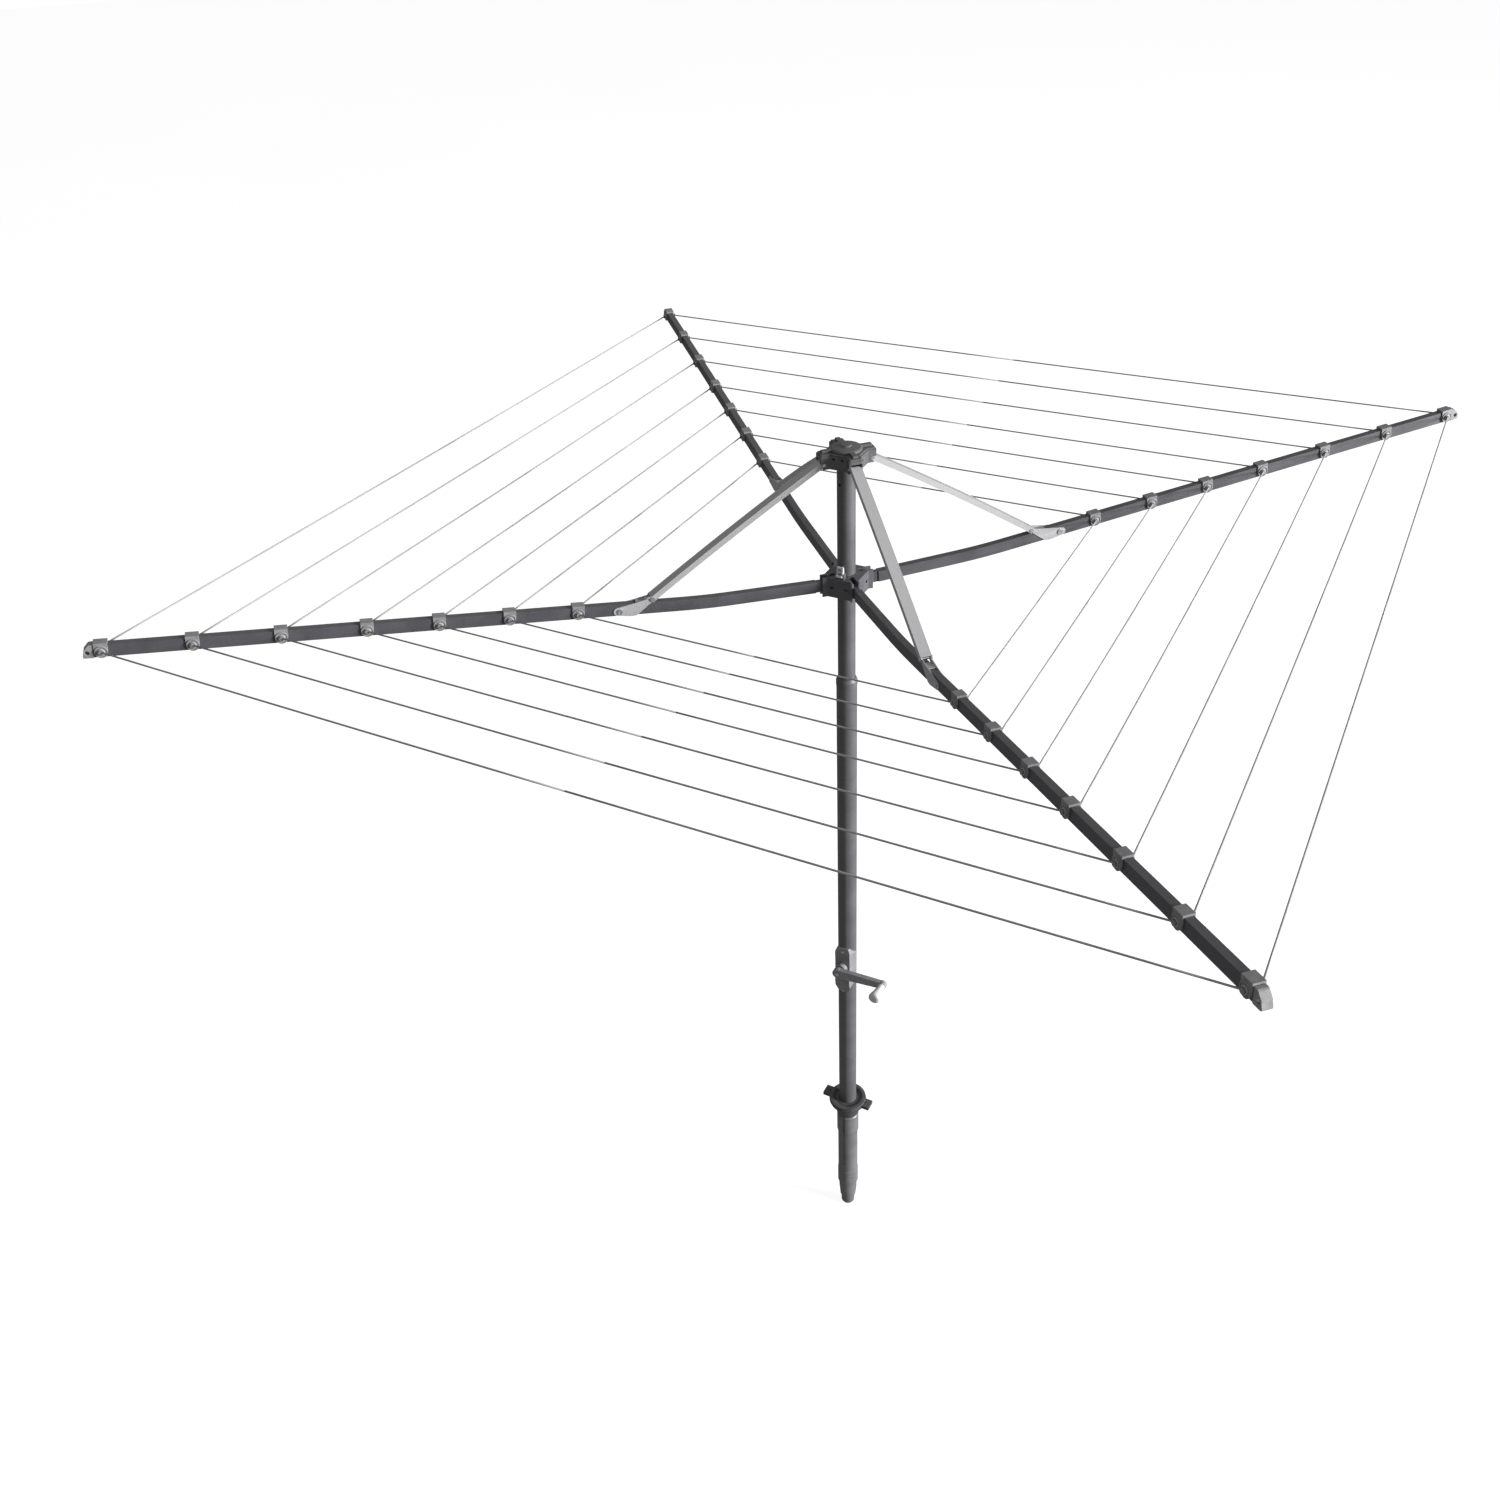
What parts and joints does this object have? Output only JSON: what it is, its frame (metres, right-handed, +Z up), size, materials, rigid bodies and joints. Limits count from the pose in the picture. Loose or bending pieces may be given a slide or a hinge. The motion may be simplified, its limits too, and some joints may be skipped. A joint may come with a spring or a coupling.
{
  "type": "rotary clothesline",
  "caption": "Ground-socketed mast with a crank-raised turning head, four strutted folding arms and square rings of clothesline, shown open.",
  "frame": {"origin": "on the mast's axis at ground level, in the plane of the socket flange's underside", "axes": "+Z up along the mast; the arms lie along +X, +Y, -X and -Y; the crank is between -X and -Y"},
  "size_m": [3.5264, 3.5264, 2.7655],
  "materials": {
    "plastic_grey": "satin grey plastic",
    "plastic_collar": "matte dark grey plastic",
    "plastic_black": "matte black plastic",
    "tube_dark": "semi-gloss charcoal powder coat",
    "plastic_dark": "fine-grained dark grey plastic",
    "housing_dark": "fine-grained dark grey plastic",
    "cover_grey": "matte grey plastic",
    "steel": "bright zinc-plated steel",
    "brass": "plain machined brass",
    "crank_grey": "satin grey paint",
    "knob_grey": "light grey plastic",
    "latch_grey": "light grey plastic",
    "arm_dark": "semi-gloss charcoal powder coat on aluminium",
    "cap_grey": "matte grey plastic",
    "clip_grey": "matte grey plastic",
    "line_grey": "smooth plastic-coated cord",
    "strut_grey": "satin silver-grey anodised aluminium"
  },
  "bodies": {
    "ground": {"ground_socket": "plastic_grey", "socket_collar": "plastic_collar", "socket_plug": "plastic_black"},
    "lock_ring": {"locking_ring": "plastic_collar"},
    "mast": {"mast_tube": "tube_dark", "mast_top_bush": "plastic_dark", "winder_housing": "housing_dark", "winder_cover": "cover_grey", "winder_screws": "steel", "screw_bearing": "steel"},
    "crank": {"crank_shaft": "steel", "bevel_pinion": "brass", "crank_arm": "crank_grey", "crank_bolt": "steel"},
    "knob": {"crank_knob": "knob_grey"},
    "screw": {"lead_screw": "steel", "crown_gear": "brass"},
    "carriage": {"lift_nut": "brass", "tube_foot": "plastic_black"},
    "head": {"head_tube": "tube_dark", "top_hub": "plastic_dark", "hub_cap": "plastic_dark", "hub_screws": "steel"},
    "runner": {"runner": "plastic_dark", "latch_pin": "steel", "latch_spring": "steel", "arm_pins": "steel"},
    "latch": {"latch_lever": "latch_grey"},
    "arm_1": {"arm_1": "arm_dark", "tip_cap_1": "cap_grey", "line_clips_1": "clip_grey", "lines_1": "line_grey", "strut_shoe_1": "strut_grey", "shoe_pins_1": "steel"},
    "strut_1": {"strut_1": "strut_grey", "strut_pin_1": "steel"},
    "arm_2": {"arm_2": "arm_dark", "tip_cap_2": "cap_grey", "line_clips_2": "clip_grey", "lines_2": "line_grey", "strut_shoe_2": "strut_grey", "shoe_pins_2": "steel"},
    "strut_2": {"strut_2": "strut_grey", "strut_pin_2": "steel"},
    "arm_3": {"arm_3": "arm_dark", "tip_cap_3": "cap_grey", "line_clips_3": "clip_grey", "lines_3": "line_grey", "strut_shoe_3": "strut_grey", "shoe_pins_3": "steel"},
    "strut_3": {"strut_3": "strut_grey", "strut_pin_3": "steel"},
    "arm_4": {"arm_4": "arm_dark", "tip_cap_4": "cap_grey", "line_clips_4": "clip_grey", "lines_4": "line_grey", "strut_shoe_4": "strut_grey", "shoe_pins_4": "steel"},
    "strut_4": {"strut_4": "strut_grey", "strut_pin_4": "steel"}
  },
  "joints": [
    {"name": "lock_twist", "type": "hinge", "parent": "ground", "child": "lock_ring", "pos_m": [0, 0, 0], "axis": [0, 0, 1], "range_deg": [0, 60]},
    {"name": "mast_lift_out", "type": "slide", "parent": "ground", "child": "mast", "axis": [0, 0, 1], "range_m": [0, 0.36]},
    {"name": "crank_turn", "type": "hinge", "parent": "mast", "child": "crank", "pos_m": [0, 0, 0.62], "axis": [-0.7071, -0.7071, 0], "range_deg": [-7110, 7200]},
    {"name": "knob_spin", "type": "hinge", "parent": "crank", "child": "knob", "pos_m": [0.10087, -0.10087, 0.62997], "axis": [-0.7071, -0.7071, 0], "continuous": true},
    {"name": "screw_spin", "type": "hinge", "parent": "mast", "child": "screw", "pos_m": [0, 0, 0.62], "axis": [0, 0, 1], "range_deg": [-7201, 7111]},
    {"name": "head_lift", "type": "slide", "parent": "mast", "child": "carriage", "axis": [0, 0, 1], "range_m": [-0.2371, 0.2401]},
    {"name": "head_spin", "type": "hinge", "parent": "carriage", "child": "head", "pos_m": [0, 0, 1.9], "axis": [0, 0, 1], "continuous": true},
    {"name": "runner_slide", "type": "slide", "parent": "head", "child": "runner", "axis": [0, 0, 1], "range_m": [0, 0.2678]},
    {"name": "latch_tilt", "type": "hinge", "parent": "runner", "child": "latch", "pos_m": [-0.02546, -0.02546, 1.936], "axis": [0.7071, -0.7071, 0], "range_deg": [0, 12], "stiffness_Nm_per_rad": 0.4, "springref_deg": -17.19},
    {"name": "arm_1_fold", "type": "hinge", "parent": "runner", "child": "arm_1", "pos_m": [0.046, 0, 1.901], "axis": [0, 1, 0], "range_deg": [0, 92.38], "deforming": ["lines_1"]},
    {"name": "strut_1_swing", "type": "hinge", "parent": "arm_1", "child": "strut_1", "pos_m": [0.5, 0, 1.956], "axis": [0, -1, 0], "range_deg": [0, 36.47]},
    {"name": "arm_2_fold", "type": "hinge", "parent": "runner", "child": "arm_2", "pos_m": [0, 0.046, 1.901], "axis": [-1, 0, 0], "range_deg": [0, 92.39], "deforming": ["lines_2"]},
    {"name": "strut_2_swing", "type": "hinge", "parent": "arm_2", "child": "strut_2", "pos_m": [0, 0.5, 1.956], "axis": [1, 0, 0], "range_deg": [0, 36.47]},
    {"name": "arm_3_fold", "type": "hinge", "parent": "runner", "child": "arm_3", "pos_m": [-0.046, 0, 1.901], "axis": [0, -1, 0], "range_deg": [0, 92.39], "deforming": ["lines_3"]},
    {"name": "strut_3_swing", "type": "hinge", "parent": "arm_3", "child": "strut_3", "pos_m": [-0.5, 0, 1.956], "axis": [0, 1, 0], "range_deg": [0, 36.47]},
    {"name": "arm_4_fold", "type": "hinge", "parent": "runner", "child": "arm_4", "pos_m": [0, -0.046, 1.901], "axis": [1, 0, 0], "range_deg": [0, 92.39], "deforming": ["lines_4"]},
    {"name": "strut_4_swing", "type": "hinge", "parent": "arm_4", "child": "strut_4", "pos_m": [0, -0.5, 1.956], "axis": [-1, 0, 0], "range_deg": [0, 36.47]}
  ],
  "couplings": [
    {"joint": "screw_spin", "follows": "crank_turn", "ratio": -1},
    {"joint": "head_lift", "follows": "crank_turn", "m_per_rad": 0.0019099},
    {"joint": "runner_slide", "follows": "arm_1_fold", "m_per_rad": 0.16603},
    {"joint": "arm_2_fold", "follows": "arm_1_fold", "ratio": 1},
    {"joint": "arm_3_fold", "follows": "arm_1_fold", "ratio": 1},
    {"joint": "arm_4_fold", "follows": "arm_1_fold", "ratio": 1},
    {"joint": "strut_1_swing", "follows": "arm_1_fold", "ratio": 0.39461},
    {"joint": "strut_2_swing", "follows": "arm_1_fold", "ratio": 0.39461},
    {"joint": "strut_3_swing", "follows": "arm_1_fold", "ratio": 0.39461},
    {"joint": "strut_4_swing", "follows": "arm_1_fold", "ratio": 0.39461}
  ]
}
